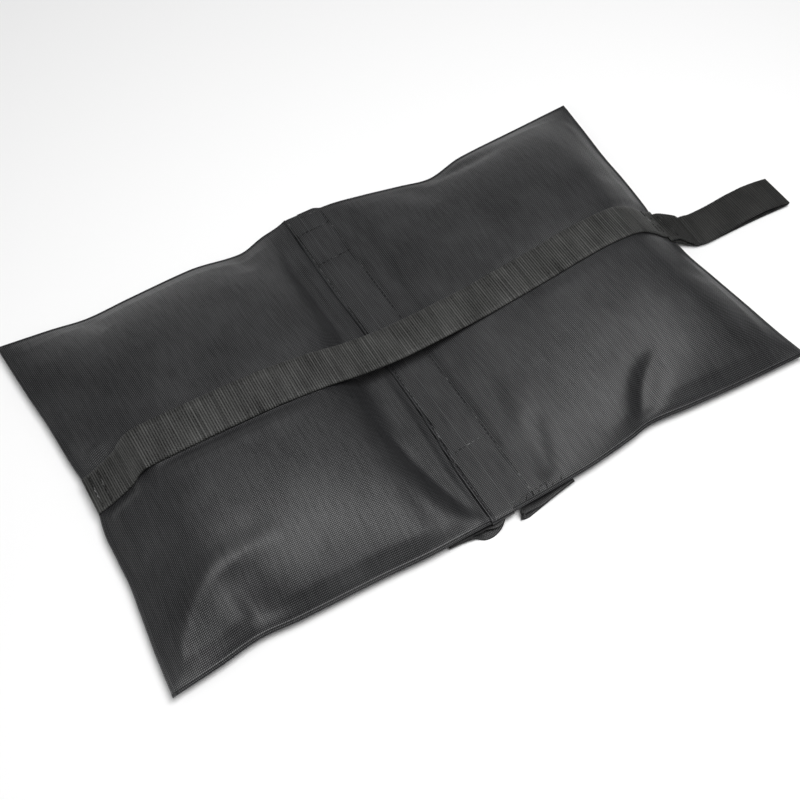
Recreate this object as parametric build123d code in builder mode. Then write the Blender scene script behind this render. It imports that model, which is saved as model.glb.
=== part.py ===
"""A filled saddle sandbag: two fabric pouches of sand joined by a saddle.

A carry strap runs along the top and a hang loop stands at one end.

The bag lies on its underside. X runs along it with the hang loop at +X, Y runs across it, +Z is up.
Distances called "out" are measured from the fold line in the middle of the saddle, towards a pouch's far end.
"""

from build123d import *
from math import cos, hypot, radians, sin
import os

# ---- driving dimensions, mm ----
bag_length = 490.0  # end seam to end seam, filled
bag_width = 298.0  # front seam to back seam, filled
loop_reach = 343.0  # from the middle of the bag to the far end of the hang loop
seam_height = 9.0  # the side seam stands this high when the bag lies down
fabric = 1.2  # coated outer fabric with its seam tape
liner_gap = 0.3  # air between the outer fabric and the sand liner
liner = 0.5  # plastic liner film, folded double
webbing_width = 30.0
webbing = 1.6  # thickness of the carry strap and the hang loop

fold_offset = -3.0  # the fold line lies this far from the middle of the bag
hinge_out = 8.0  # each pouch folds about a line this far out
pouch_inner_out = 15.3  # where each pouch begins
underside_height = 6.0  # the pouch underside beside the saddle, over the zip

saddle_width = 30.0  # the strip that is sewn flat between the pouches
stitch_length = 3.4
stitch_width = 0.7
stitch_pitch = 4.5
tack_stitch = (0.7, 1.9)  # one stitch of a bar tack
tack_pitch = 2.6
tack_height = 0.5

zip_out = 29.0  # the zip runs across the bag at this distance out
zip_half_length = 123.0
zip_tape_width = 8.6  # one of the two tapes
zip_tape_out = 5.9  # from the zip's middle line to the middle of a tape
zip_tape_thickness = 0.7
coil_width = 2.2
coil_core = 1.4
coil_turn = 1.4  # length of one turn of the coil
coil_pitch = 3.0
zip_stop_length = 2.0
slider_length = 12.0
slider_width = 8.0
slider_rest_y = 114.0
slider_height = 3.7
slider_thickness = 0.9
slider_post = (2.4, 1.4, 0.4)  # the two lugs under the slider that hold its pull
pull_length = 28.0
pull_width = 5.0
pull_height = 2.4
pull_thickness = 0.7
pull_eye = (2.6, 4.0)

flap_front_y = -156.0
flap_back_y = 151.0
flap_thickness = 1.2
tape_centre_out = 44.5  # middle of the hook tape and of the loop tape
tape_width = 8.0
tape_half_length = 138.0
hook_tape_thickness = 0.75
loop_tape_thickness = 0.9

# ---- places worked out from them ----
middle_x = (bag_length / 2 - loop_reach) / 2  # this puts the origin under the middle of the whole part
fold_x = middle_x + fold_offset
liner_inset = fabric + liner_gap
sand_inset = liner_inset + liner

# Each pouch level: height, inner edge out from the fold line, outer edge from the bag's middle,
# half width and corner radius
underside_low = [(0.0, 64.0, 204.0, 116.0, 40.0), (underside_height, 51.5, 224.0, 134.0, 30.0)]
underside_high = [
    (underside_height, pouch_inner_out, 232.0, 140.0, 14.0),
    (seam_height, pouch_inner_out, bag_length / 2, bag_width / 2, 6.0),
]
top_levels = {
    -1: [
        (seam_height, pouch_inner_out, bag_length / 2, bag_width / 2, 6.0),
        (20.0, 34.0, 219.0, 134.0, 24.0),
        (30.0, 67.0, 203.0, 112.0, 34.0),
        (36.5, 104.0, 187.0, 72.0, 30.0),
    ],
    1: [
        (seam_height, pouch_inner_out, bag_length / 2, bag_width / 2, 6.0),
        (18.5, 52.0, 221.0, 136.0, 24.0),
        (29.0, 119.0, 205.0, 112.0, 34.0),
        (36.5, 166.0, 191.0, 66.0, 10.0),
    ],
}

# The carry strap's middle line: distance along the bag from its middle, and height
strap_line = [
    (-243.5, 10.9),
    (-214.0, 25.8),
    (-191.0, 37.6),
    (-150.0, 38.0),
    (-106.0, 37.8),
    (-70.0, 32.6),
    (-33.0, 23.4),
    (0.0, 20.0),
    (50.0, 21.4),
    (97.0, 27.0),
    (121.0, 31.4),
    (150.0, 36.4),
    (172.0, 38.0),
    (193.0, 37.8),
    (214.0, 26.2),
    (243.5, 10.9),
]

# The hang loop's outline and the gap inside it: distance from the middle of the bag, and height
loop_root_x = bag_length / 2 + 2.0
loop_outline = [
    (loop_root_x, 8.2),
    (262.0, 0.6),
    (326.0, 0.4),
    (338.0, 1.6),
    (loop_reach, 5.2),
    (340.0, 9.4),
    (326.0, 11.6),
    (286.0, 12.2),
    (263.0, 7.8),
    (loop_root_x, 11.4),
]
loop_gap = [
    (266.0, 2.2),
    (326.0, 2.0),
    (336.5, 3.0),
    (341.2, 5.4),
    (338.6, 8.0),
    (326.0, 10.0),
    (287.0, 10.6),
    (268.0, 6.8),
]
loop_turn = -4.0  # degrees about Z: the loop lies a little askew
loop_y = -9.0

# The closure flap's middle line: distance out, and height. It hangs in a slack bend beside its seam.
flap_line = [(9.6, 4.9), (12.5, 1.4), (21.0, 1.0), (31.0, 1.4), (48.5, 3.0)]

SIDES = ((-1, "left"), (1, "right"))


def out_x(side, distance):
    """X of a line this far out from the fold line, on one side."""
    return fold_x + side * distance


def ribbon(points, half_thickness):
    """The closed outline of a band of cloth that follows these points."""
    above, below = [], []
    for i, (x, z) in enumerate(points):
        before = points[max(i - 1, 0)]
        after = points[min(i + 1, len(points) - 1)]
        dx = after[0] - before[0]
        dz = after[1] - before[1]
        run = hypot(dx, dz)
        above.append((x - half_thickness * dz / run, z + half_thickness * dx / run))
        below.append((x + half_thickness * dz / run, z - half_thickness * dx / run))
    return above + below[::-1]


def upright(points, origin=(0, 0, 0), turn=0.0):
    """A face with this outline, in the plane along the bag and up."""
    a = radians(turn)
    plane = Plane(origin=origin, x_dir=(cos(a), sin(a), 0), z_dir=(sin(a), -cos(a), 0))
    with BuildSketch(plane) as outline:
        with BuildLine():
            Polyline(*points, close=True)
        make_face()
    return outline.sketch


def pouch_levels(side, levels, inset, sink=0.0, lift=0.0):
    """The faces to loft a pouch-shaped block through, drawn in by inset all round."""
    faces = []
    for i, (z, inner_out, outer, half_width, corner) in enumerate(levels):
        inner_x = out_x(side, inner_out + inset)
        outer_x = middle_x + side * (outer - inset)
        height = z + (lift if i == 0 else 0.0) - (sink if i == len(levels) - 1 else 0.0)
        with BuildSketch(Plane(((inner_x + outer_x) / 2, 0, height))) as level:
            size = abs(outer_x - inner_x)
            RectangleRounded(size, 2 * (half_width - inset), corner - min(inset, corner / 2))
        faces.append(level.sketch.face())
    return faces


def inner_blocks(side, inset):
    """The faces of the three stacked blocks that fill a pouch, this far inside its fabric."""
    return [
        pouch_levels(side, underside_low, inset, sink=-inset, lift=inset),
        pouch_levels(side, underside_high, inset, lift=inset),
        pouch_levels(side, top_levels[side], inset, sink=inset),
    ]


def lying_along(start, end, share, lift, y=0.0):
    """A plane along the line from start to end, given as (x, height) with start the left one.

    Its origin is this share of the way along the line, lifted off it."""
    run = end[0] - start[0]
    climb = end[1] - start[1]
    length = hypot(run, climb)
    x = start[0] + share * run - lift * climb / length
    z = start[1] + share * climb + lift * run / length
    return Plane(origin=(middle_x + x, y, z), x_dir=(run, 0, climb), z_dir=(-climb, 0, run))


def save(part, name):
    part.label = name
    export_step(part, f"parts/{name}.step")


os.makedirs("parts", exist_ok=True)

# ---- the saddle ----
with BuildPart() as saddle_strip:
    with BuildSketch(Plane((fold_x, 1.5, underside_height + 1.0))):
        Rectangle(saddle_width, bag_width + 5)
    extrude(amount=1.4)
save(saddle_strip.part, "saddle_strip")

with BuildPart() as saddle_webbing:
    with BuildSketch(Plane((fold_x, 0, underside_height - 0.6))):
        Rectangle(2 * hinge_out - 0.4, bag_width)
    extrude(amount=1.5)
save(saddle_webbing.part, "saddle_webbing")

with BuildPart() as saddle_stitching:
    with BuildSketch(Plane((fold_x, 0, underside_height + 2.4))):
        with GridLocations(saddle_width - 4, stitch_pitch, 2, 62):
            Rectangle(stitch_width, stitch_length)
        for cross_y in (-93.0, 100.0, 133.0):
            with Locations((0, cross_y)):
                with GridLocations(stitch_pitch, 1, 5, 1):
                    Rectangle(stitch_length, stitch_width)
    extrude(amount=0.4)
save(saddle_stitching.part, "saddle_stitching")

# ---- the carry strap, one length of webbing from end seam to end seam ----
with BuildPart() as carry_strap:
    strap_outline = [(middle_x + x, z) for x, z in ribbon(strap_line, webbing / 2)]
    extrude(upright(strap_outline), amount=webbing_width / 2, both=True)
save(carry_strap.part, "carry_strap")

# ---- the hang loop ----
with BuildPart() as hang_loop:
    loop_origin = (middle_x + loop_root_x, loop_y, 0)
    for points, mode in ((loop_outline, Mode.ADD), (loop_gap, Mode.SUBTRACT)):
        face = upright([(x - loop_root_x, z) for x, z in points], loop_origin, loop_turn)
        extrude(face, amount=webbing_width / 2, both=True, mode=mode)
save(hang_loop.part, "hang_loop")

with BuildPart() as hang_loop_tack:
    with BuildSketch(lying_along(loop_outline[-1], loop_outline[-2], 0.31, 0.3, loop_y)):
        with GridLocations(3.0, tack_pitch, 2, 9):
            Rectangle(*tack_stitch)
    extrude(amount=tack_height)
save(hang_loop_tack.part, "hang_loop_tack")

for side, name in SIDES:
    top = top_levels[side]
    # ---- outer fabric, above and below the side seam ----
    with BuildPart() as top_panel:
        loft(pouch_levels(side, top, 0), ruled=True)
        loft(pouch_levels(side, top, fabric, sink=fabric), ruled=True, mode=Mode.SUBTRACT)
    save(top_panel.part, f"top_panel_{name}")

    with BuildPart() as bottom_panel:
        loft(pouch_levels(side, underside_low, 0), ruled=True)
        loft(pouch_levels(side, underside_high, 0), ruled=True)
        hollow_low = pouch_levels(side, underside_low, fabric, sink=-fabric, lift=fabric)
        loft(hollow_low, ruled=True, mode=Mode.SUBTRACT)
        hollow_high = pouch_levels(side, underside_high, fabric, lift=fabric)
        loft(hollow_high, ruled=True, mode=Mode.SUBTRACT)
        with BuildSketch(Plane((out_x(side, zip_out), 0, underside_height))):
            Rectangle(coil_width + 1.2, 2 * zip_half_length + 6.4)  # the slit that the zip closes
        extrude(amount=fabric, mode=Mode.SUBTRACT)
    save(bottom_panel.part, f"bottom_panel_{name}")

    # ---- the sand in its liner ----
    with BuildPart() as sand_liner:
        for inset, mode in ((liner_inset, Mode.ADD), (sand_inset, Mode.SUBTRACT)):
            for faces in inner_blocks(side, inset):
                loft(faces, ruled=True, mode=mode)
    save(sand_liner.part, f"sand_liner_{name}")

    with BuildPart() as sand_fill:
        for faces in inner_blocks(side, sand_inset):
            loft(faces, ruled=True)
    save(sand_fill.part, f"sand_fill_{name}")

    # ---- the zip across the pouch's mouth ----
    zip_x = out_x(side, zip_out)
    with BuildPart() as zip_tape:
        for edge in (-1, 1):
            with BuildSketch(Plane((zip_x + edge * zip_tape_out, 0, underside_height - 0.8))):
                Rectangle(zip_tape_width, 2 * zip_half_length + 12)
            extrude(amount=zip_tape_thickness)
    save(zip_tape.part, f"zip_tape_{name}")

    with BuildPart() as zip_coil:
        with BuildSketch(Plane((zip_x, 0, underside_height - 0.9))):
            Rectangle(coil_core, 2 * zip_half_length)
        extrude(amount=1.2)
        with BuildSketch(Plane((zip_x, 0, underside_height - 1.1))):
            with GridLocations(1, coil_pitch, 1, 80):
                Rectangle(coil_width, coil_turn)
        extrude(amount=1.6)
    save(zip_coil.part, f"zip_coil_{name}")

    with BuildPart() as zip_stops:
        with BuildSketch(Plane((zip_x, 0, underside_height - 1.4))):
            with GridLocations(1, 2 * zip_half_length + 3.4, 1, 2):
                Rectangle(coil_width + 0.4, zip_stop_length)
        extrude(amount=1.8)
    save(zip_stops.part, f"zip_stops_{name}")

    with BuildPart() as zip_slider:
        with BuildSketch(Plane((zip_x, slider_rest_y, slider_height))):
            with BuildLine():
                Polyline(
                    (-slider_width / 2, slider_length / 2),
                    (slider_width / 2, slider_length / 2),
                    (slider_width / 2, 0),
                    (slider_width / 4, -slider_length / 2),
                    (-slider_width / 4, -slider_length / 2),
                    (-slider_width / 2, 0),
                    close=True,
                )
            make_face()
        extrude(amount=slider_thickness)
        post_length, post_width, post_height = slider_post
        with BuildSketch(Plane((zip_x, slider_rest_y, slider_height - post_height))):
            with GridLocations(1, slider_length / 2, 1, 2):
                Rectangle(post_length, post_width)
        extrude(amount=post_height)
    save(zip_slider.part, f"zip_slider_{name}")

    with BuildPart() as zip_pull:
        with BuildSketch(Plane((zip_x, slider_rest_y - pull_length / 2, pull_height))):
            RectangleRounded(pull_width, pull_length, 1.6)
            with Locations((0, pull_length / 2 - 4.0)):
                Rectangle(*pull_eye, mode=Mode.SUBTRACT)
        extrude(amount=pull_thickness)
    save(zip_pull.part, f"zip_pull_{name}")

    # ---- the closure flap and its hook-and-loop fastening ----
    with BuildPart() as flap:
        middle_y = (flap_front_y + flap_back_y) / 2
        flap_outline = [(out_x(side, out), z) for out, z in ribbon(flap_line, flap_thickness / 2)]
        flap_face = upright(flap_outline, (0, middle_y, 0))
        extrude(flap_face, amount=(flap_back_y - flap_front_y) / 2, both=True)
    save(flap.part, f"flap_{name}")

    with BuildPart() as flap_hook_tape:
        rise = (flap_line[-1][1] - flap_line[-2][1]) / (flap_line[-1][0] - flap_line[-2][0])
        outer_top = flap_line[-1][1] + 1.4
        inner_top = outer_top - rise * tape_width
        tape_inner, tape_outer = tape_centre_out - tape_width / 2, tape_centre_out + tape_width / 2
        hook_top = [(tape_inner, inner_top), (tape_outer, outer_top)]
        hook_base = [(out, z - hook_tape_thickness) for out, z in hook_top[::-1]]
        hook_face = upright([(out_x(side, out), z) for out, z in hook_top + hook_base])
        extrude(hook_face, amount=tape_half_length, both=True)
    save(flap_hook_tape.part, f"flap_hook_tape_{name}")

    with BuildPart() as pouch_loop_tape:
        with BuildSketch(Plane((out_x(side, tape_centre_out), 0, underside_height - loop_tape_thickness))):
            Rectangle(tape_width, 2 * tape_half_length)
        extrude(amount=loop_tape_thickness)
    save(pouch_loop_tape.part, f"pouch_loop_tape_{name}")

    # ---- the bar tack that holds the carry strap in the end seam ----
    if side < 0:
        tack_plane = lying_along(strap_line[0], strap_line[1], 0.28, webbing / 2)
    else:
        tack_plane = lying_along(strap_line[-2], strap_line[-1], 0.72, webbing / 2)
    with BuildPart() as strap_tack:
        with BuildSketch(tack_plane):
            with GridLocations(3.4, tack_pitch, 2, 10):
                Rectangle(*tack_stitch)
        extrude(amount=tack_height)
    save(strap_tack.part, f"strap_tack_{name}")
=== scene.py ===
"""The looks of a filled saddle sandbag: fabric pouches, ribbed webbing, stitching, zips and closure flaps.

Lengths are in millimetres from the bag's middle, on the floor. `world` turns them into metres in the frame.
X runs along the bag with the hang loop at +X, Y runs across it, +Z is up.
"""

from math import cos, pi, radians, sin

import bpy
import numpy as np
from mathutils import Matrix, Vector
from mathutils.bvhtree import BVHTree

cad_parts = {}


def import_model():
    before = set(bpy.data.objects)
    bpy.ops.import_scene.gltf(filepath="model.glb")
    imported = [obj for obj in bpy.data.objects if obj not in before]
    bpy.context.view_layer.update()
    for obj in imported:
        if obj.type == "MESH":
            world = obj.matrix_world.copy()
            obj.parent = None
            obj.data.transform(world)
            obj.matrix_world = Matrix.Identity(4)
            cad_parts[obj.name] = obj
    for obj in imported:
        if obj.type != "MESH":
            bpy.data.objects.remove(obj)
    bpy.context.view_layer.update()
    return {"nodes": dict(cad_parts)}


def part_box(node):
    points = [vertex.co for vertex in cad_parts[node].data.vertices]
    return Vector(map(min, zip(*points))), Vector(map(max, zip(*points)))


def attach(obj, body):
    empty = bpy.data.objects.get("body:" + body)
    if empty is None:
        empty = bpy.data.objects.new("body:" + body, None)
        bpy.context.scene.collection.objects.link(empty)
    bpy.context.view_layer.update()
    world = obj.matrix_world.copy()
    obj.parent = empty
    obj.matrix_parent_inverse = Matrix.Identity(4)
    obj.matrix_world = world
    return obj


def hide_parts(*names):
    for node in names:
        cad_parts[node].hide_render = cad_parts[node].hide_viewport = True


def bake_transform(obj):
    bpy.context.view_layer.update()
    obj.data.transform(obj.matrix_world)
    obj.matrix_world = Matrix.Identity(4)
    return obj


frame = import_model()

MM = 0.001
LEFT, RIGHT = -1, 1
SIDE_NAME = {LEFT: "left", RIGHT: "right"}


# ---- places taken from the frame ----
def middle_along(first, last):
    """The middle, along the bag, of the space from one piece to another."""
    return (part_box(first)[0].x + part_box(last)[1].x) / 2 / MM


middle_x = middle_along("top_panel_left", "top_panel_right")
fold_x = middle_along("saddle_webbing", "saddle_webbing") - middle_x
zip_x = {
    side: middle_along(f"zip_coil_{name}", f"zip_coil_{name}") - middle_x for side, name in SIDE_NAME.items()
}
zip_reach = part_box("zip_coil_left")[1].y / MM
webbing_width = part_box("carry_strap")[1].y * 2 / MM

# ---- the outline of the lying bag, as the side seam runs ----
front_edge = [
    (-247, -149.5), (-216, -146.5), (-185, -143), (-160, -145), (-100, -147), (-60, -149), (0, -149),
    (52, -148), (97, -144), (117, -141), (150, -144), (190, -147), (248, -150),
]
back_edge = [
    (-248, 148), (-212, 144), (-182, 140), (-150, 142), (-100, 144), (-60, 138.8), (-37, 145.6), (-19, 150),
    (-16.5, 152), (12, 152.5), (14.5, 150), (24, 149.5), (50, 145), (82, 138), (106, 133), (142, 141),
    (202, 145), (248, 148),
]
left_end = [
    (-149.5, -247), (-120, -245), (-90, -242), (-65, -240), (-35, -240), (0, -236), (36, -239), (70, -241),
    (100, -244), (148, -248),
]
right_end = [
    (-150, 248), (-124, 244), (-95, 241), (-60, 237), (-30, 234), (12, 235), (27, 237), (60, 240), (80, 241),
    (118, 245), (148, 248),
]
end_line = {LEFT: left_end, RIGHT: right_end}
inner_line = {LEFT: -10.0, RIGHT: fold_x}  # where each top panel ends in the saddle
strip_edge = {LEFT: -15.0, RIGHT: 15.0}  # the saddle is sewn flat between these lines
lap_edge = -16.0  # the right panel's folded edge lies over the left panel here

# ---- heights of the filled bag along its middle ----
left_profile = [
    (-236, 8), (-226, 15.5), (-210, 24.5), (-190, 34.5), (-170, 37.2), (-150, 37.2), (-110, 35.8), (-78, 31),
    (-66, 28), (-57, 23.5), (-50, 17), (-45, 11), (-40, 7.9), (-34, 7.6), (-25, 8.4), (-19, 7.5),
    (-16, 7.1), (-10, 6.7),
]
right_profile = [
    (-3, 8.2), (8, 8.2), (15, 8.3), (22, 9.6), (32, 12.6), (50, 17), (75, 21), (94, 24.5), (121, 29),
    (147, 33.8), (174, 36.8), (192, 36), (206, 30.5), (216, 24), (226, 16), (235, 8),
]
profile = {LEFT: left_profile, RIGHT: right_profile}
end_x = {LEFT: left_profile[0][0], RIGHT: right_profile[-1][0]}  # where each pouch's middle line ends
seam_y = 149.0  # the front and back seams lie about this far from the middle
half_width = 148.0  # of a pouch inside those seams
seam_lift = 6.1  # how high the underside is at the seams
seam_top = 8.0
seam_roll = 0.45  # radius of the turned seam along the outline
turned_in = 2.0  # width of the edge turned in behind it
section_power = 4.0  # how square the pouch is from front to back


def world(points):
    """Points of the bag, in millimetres, as metres in the frame."""
    moved = np.array(points, float) * MM
    moved[..., 0] += middle_x * MM
    return moved


def smooth(points, x):
    """The height at x of a smooth line through these (place, height) points, which never overshoots them."""
    px, py = np.array(points, float).T
    x = np.clip(x, px[0], px[-1])
    step = np.diff(px)
    slope = np.diff(py) / step
    same_way = slope[:-1] * slope[1:] > 0
    with np.errstate(divide="ignore", invalid="ignore"):
        inner = np.where(same_way, 2 * slope[:-1] * slope[1:] / (slope[:-1] + slope[1:]), 0.0)
    tangent = np.concatenate([slope[:1], inner, slope[-1:]])
    i = np.clip(np.searchsorted(px, x, side="right") - 1, 0, len(px) - 2)
    t = (x - px[i]) / step[i]
    return (
        py[i] * (1 + 2 * t) * (1 - t) ** 2
        + tangent[i] * step[i] * t * (1 - t) ** 2
        + py[i + 1] * t * t * (3 - 2 * t)
        + tangent[i + 1] * step[i] * t * t * (t - 1)
    )


def ramp(x, low, high):
    """From 0 at low to 1 at high, with a soft start and end. Low may be the larger."""
    t = np.clip((x - low) / (high - low), 0, 1)
    return t * t * (3 - 2 * t)


def refine(grid, times):
    """A grid of points with `times` steps in place of each, on smooth lines through the old points."""
    for axis in (0, 1):
        g = np.moveaxis(grid, axis, 0)
        g = np.concatenate([2 * g[:1] - g[1:2], g, 2 * g[-1:] - g[-2:-1]])
        a, b, c, d = g[:-3], g[1:-2], g[2:-1], g[3:]
        rows = []
        for k in range(times):
            t = k / times
            rows.append(b + 0.5 * t * (c - a + t * (2 * a - 5 * b + 4 * c - d + t * (3 * (b - c) + d - a))))
        fine = np.stack(rows, 1).reshape(-1, *b.shape[1:])
        grid = np.moveaxis(np.concatenate([fine, g[-2:-1]]), 0, axis)
    return grid


# ---- meshes ----
def add_object(name, data):
    made = bpy.data.objects.new(name, data)
    bpy.context.scene.collection.objects.link(made)
    return made


def mesh_object(name, points, faces, uv=None, material=None):
    """A mesh object. uv holds the cloth's own flat coordinates of each point, in metres."""
    mesh = bpy.data.meshes.new(name)
    mesh.from_pydata([tuple(p) for p in world(points)], [], [tuple(int(i) for i in f) for f in faces])
    if uv is not None:
        layer = mesh.uv_layers.new(name="cloth")
        corner = np.zeros(len(mesh.loops), np.int32)
        mesh.loops.foreach_get("vertex_index", corner)
        layer.data.foreach_set("uv", np.array(uv, np.float32)[corner].ravel())
    mesh.polygons.foreach_set("use_smooth", [True] * len(mesh.polygons))
    mesh.update()
    made = add_object(name, mesh)
    if material:
        made.data.materials.append(material)
    return made


def grid_faces(rows, columns, closed=False, first=0):
    """Quads of a grid of points, counted row by row. A closed grid joins its last column to its first."""
    i, j = np.meshgrid(np.arange(rows - 1), np.arange(columns if closed else columns - 1), indexing="ij")
    k = (j + 1) % columns
    quads = np.stack([i * columns + j, (i + 1) * columns + j, (i + 1) * columns + k, i * columns + k], -1)
    return quads.reshape(-1, 4) + first


class Build:
    """Collects the points, faces and cloth coordinates of one piece."""

    def __init__(self):
        self.points, self.faces, self.uv, self.count = [], [], [], 0

    def grid(self, points, uv, closed=False, skip=None):
        """Adds a grid of points. skip marks the quads to leave out."""
        points = np.array(points, float)
        rows, columns = points.shape[:2]
        faces = grid_faces(rows, columns, closed, self.count)
        if skip is not None:
            faces = faces[~skip.ravel()]
        self.points.append(points.reshape(-1, 3))
        self.uv.append(np.array(uv, float).reshape(-1, 2))
        self.faces += faces.tolist()
        start = self.count
        self.count += rows * columns
        return start + np.arange(rows * columns).reshape(rows, columns)

    def cap(self, ring, flip=False):
        self.faces.append([int(i) for i in (ring[::-1] if flip else ring)])

    def strip(self, upper, lower, flip=False):
        """Closes the end of a band, between its upper and lower rows of points."""
        for k in range(len(upper) - 1):
            self.cap([upper[k], upper[k + 1], lower[k + 1], lower[k]], flip)

    def done(self, name, material):
        return mesh_object(name, np.concatenate(self.points), self.faces, np.concatenate(self.uv), material)


# ---- materials ----
class Shader:
    """A node material with a short way to write its maths."""

    def __init__(self, name, roughness=0.7, specular=0.35, sheen=0.0, sheen_roughness=0.4, metallic=0.0):
        self.material = bpy.data.materials.new(name)
        self.material.use_nodes = True
        self.nodes, self.links = self.material.node_tree.nodes, self.material.node_tree.links
        self.principled = self.nodes["Principled BSDF"]
        self.set("Roughness", roughness)
        self.set("Specular IOR Level", specular)
        self.set("Sheen Weight", sheen)
        self.set("Sheen Roughness", sheen_roughness)
        self.set("Metallic", metallic)

    def set(self, name, value):
        self.feed(self.principled, name, value)

    def feed(self, node, place, value):
        """Gives an input of a node a constant, or links another node's output to it."""
        if hasattr(value, "is_output"):
            self.links.new(value, node.inputs[place])
        else:
            node.inputs[place].default_value = value

    def maths(self, kind, a, b=0.0, clamp=False):
        node = self.nodes.new("ShaderNodeMath")
        node.operation = kind
        node.use_clamp = clamp
        self.feed(node, 0, a)
        self.feed(node, 1, b)
        return node.outputs[0]

    def add(self, a, b, clamp=False):
        return self.maths("ADD", a, b, clamp)

    def times(self, a, b, clamp=False):
        return self.maths("MULTIPLY", a, b, clamp)

    def place(self, kind="UV"):
        """The cloth's own coordinates in millimetres, or the place in the object."""
        node = self.nodes.new("ShaderNodeTexCoord")
        scaled = self.nodes.new("ShaderNodeVectorMath")
        scaled.operation = "SCALE"
        scaled.inputs["Scale"].default_value = 1 / MM
        self.links.new(node.outputs[kind], scaled.inputs[0])
        return scaled.outputs[0]

    def split(self, vector):
        node = self.nodes.new("ShaderNodeSeparateXYZ")
        self.links.new(vector, node.inputs[0])
        return node.outputs

    def noise(self, vector, size, detail=2.0, stretch=None):
        """Noise from 0 to 1 whose blotches are about this many millimetres across."""
        if stretch:
            node = self.nodes.new("ShaderNodeVectorMath")
            node.operation = "MULTIPLY"
            self.links.new(vector, node.inputs[0])
            node.inputs[1].default_value = stretch
            vector = node.outputs[0]
        node = self.nodes.new("ShaderNodeTexNoise")
        node.inputs["Scale"].default_value = 1 / size
        node.inputs["Detail"].default_value = detail
        self.links.new(vector, node.inputs["Vector"])
        return node.outputs["Fac"]

    def wave(self, value, pitch):
        """A rounded thread in each pitch: 0 between threads, 1 along the middle of one."""
        turn = self.times(value, pi / pitch)
        return self.maths("ABSOLUTE", self.maths("SINE", turn))

    def between(self, low, high, share):
        """A number from low to high as share goes from 0 to 1."""
        return self.add(self.times(share, high - low), low)

    def colour(self, dark, light, share):
        node = self.nodes.new("ShaderNodeMix")
        node.data_type = "RGBA"
        self.feed(node, 0, share)
        node.inputs[6].default_value = (*dark, 1)
        node.inputs[7].default_value = (*light, 1)
        return node.outputs[2]

    def bump(self, height, depth):
        """Bump of this depth in millimetres from a height of 0 to 1."""
        node = self.nodes.new("ShaderNodeBump")
        node.inputs["Distance"].default_value = depth * MM
        self.links.new(height, node.inputs["Height"])
        self.set("Normal", node.outputs[0])


def woven(name, dark, light, pitch, depth, roughness, sheen, specular=0.35, kind="UV"):
    """Plain-woven cloth: threads cross over and under each other at this pitch, in millimetres. The gaps
    between threads are painted darker and the thread crests lighter, as painted shade and highlight.
    """
    s = Shader(name, roughness, specular, sheen, 0.45)
    at = s.place(kind)
    wobble = s.noise(at, 9.0)
    u, v, _ = s.split(at)
    u = s.add(u, s.times(wobble, 0.5))
    threads = s.times(s.wave(u, pitch), s.wave(v, pitch))
    crossing = s.maths("SINE", s.times(u, pi / pitch))
    crossing = s.times(crossing, s.maths("SINE", s.times(v, pi / pitch)))
    height = s.add(threads, s.times(crossing, 0.1))
    patches = s.noise(at, 45.0, 3.0)
    slubs = s.noise(at, 2.2, 2.0, (1.0, 0.12, 1.0))
    # tone: thread height gives painted shade in the gaps of the weave and a painted highlight on the crests,
    # in base colour and specular level; slubs and patches are the cloth's own uneven tone
    tone = s.add(s.times(height, 0.85), s.times(slubs, 0.25))
    tone = s.add(tone, s.maths("SUBTRACT", s.times(patches, 0.3), 0.24), clamp=True)
    s.set("Base Color", s.colour(dark, light, tone))
    s.set("Roughness", s.between(roughness - 0.08, roughness + 0.1, patches))
    s.set("Specular IOR Level", s.between(specular * 0.05, specular * 2, tone))
    s.bump(height, depth)
    return s.material


def ribbed(name, dark, light, pitch, roughness, sheen, shine, uneven):
    """Webbing: the ribs are in the mesh; here are the fine yarns inside each rib, with painted shade in the
    grooves between the ribs and a painted highlight on their crests.
    """
    s = Shader(name, roughness, sheen=sheen)
    at = s.place()
    u, v, _ = s.split(at)
    # rib is painted shade and highlight: it darkens the base colour and specular level in the grooves between
    # ribs and lightens them on the crests
    rib = s.maths("POWER", s.wave(s.add(u, pitch / 2), pitch), 1.2)
    yarn = s.wave(s.add(v, s.times(u, 0.35)), 1.25)
    fuzz = s.noise(at, 1.1, 3.0)
    each_rib = s.noise(at, 1.6, 0.0, (1.0, 0.04, 1.0))
    wear = s.noise(at, 28.0, 2.0)
    # tone: the painted rib shade and highlight, uneven from rib to rib, a fainter painted shade between the
    # yarns, and the webbing's own fuzz and wear
    tone = s.times(rib, s.between(0.6 - uneven, 0.6 + uneven, each_rib))
    tone = s.add(tone, s.times(yarn, 0.12))
    tone = s.add(tone, s.times(s.maths("SUBTRACT", fuzz, 0.5), 0.8))
    tone = s.add(tone, s.times(s.maths("SUBTRACT", wear, 0.4), 0.6), clamp=True)
    s.set("Specular IOR Level", s.between(shine * 0.15, shine * 1.6, tone))
    s.set("Base Color", s.colour(dark, light, tone))
    s.bump(s.add(s.times(yarn, 0.7), s.times(fuzz, 0.3)), 0.12)
    return s.material


def grained(name, dark, light, size, depth, roughness, sheen=0.0, metallic=0.0):
    """A plain material with a fine grain."""
    s = Shader(name, roughness, 0.4, sheen, metallic=metallic)
    at = s.place("Object")
    grain = s.noise(at, size, 3.0)
    s.set("Base Color", s.colour(dark, light, grain))
    s.set("Roughness", s.between(roughness - 0.1, roughness + 0.1, s.noise(at, size * 7)))
    s.bump(grain, depth)
    return s.material


def sewn_thread(name, dark, light):
    """Thread that is dark with pale stitches here and there."""
    s = Shader(name, 0.5, 0.2)
    patches = s.noise(s.place("Object"), 9.0)
    pale = s.times(s.maths("SUBTRACT", patches, 0.52), 5.0, clamp=True)
    s.set("Base Color", s.colour(dark, light, pale))
    return s.material


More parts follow.
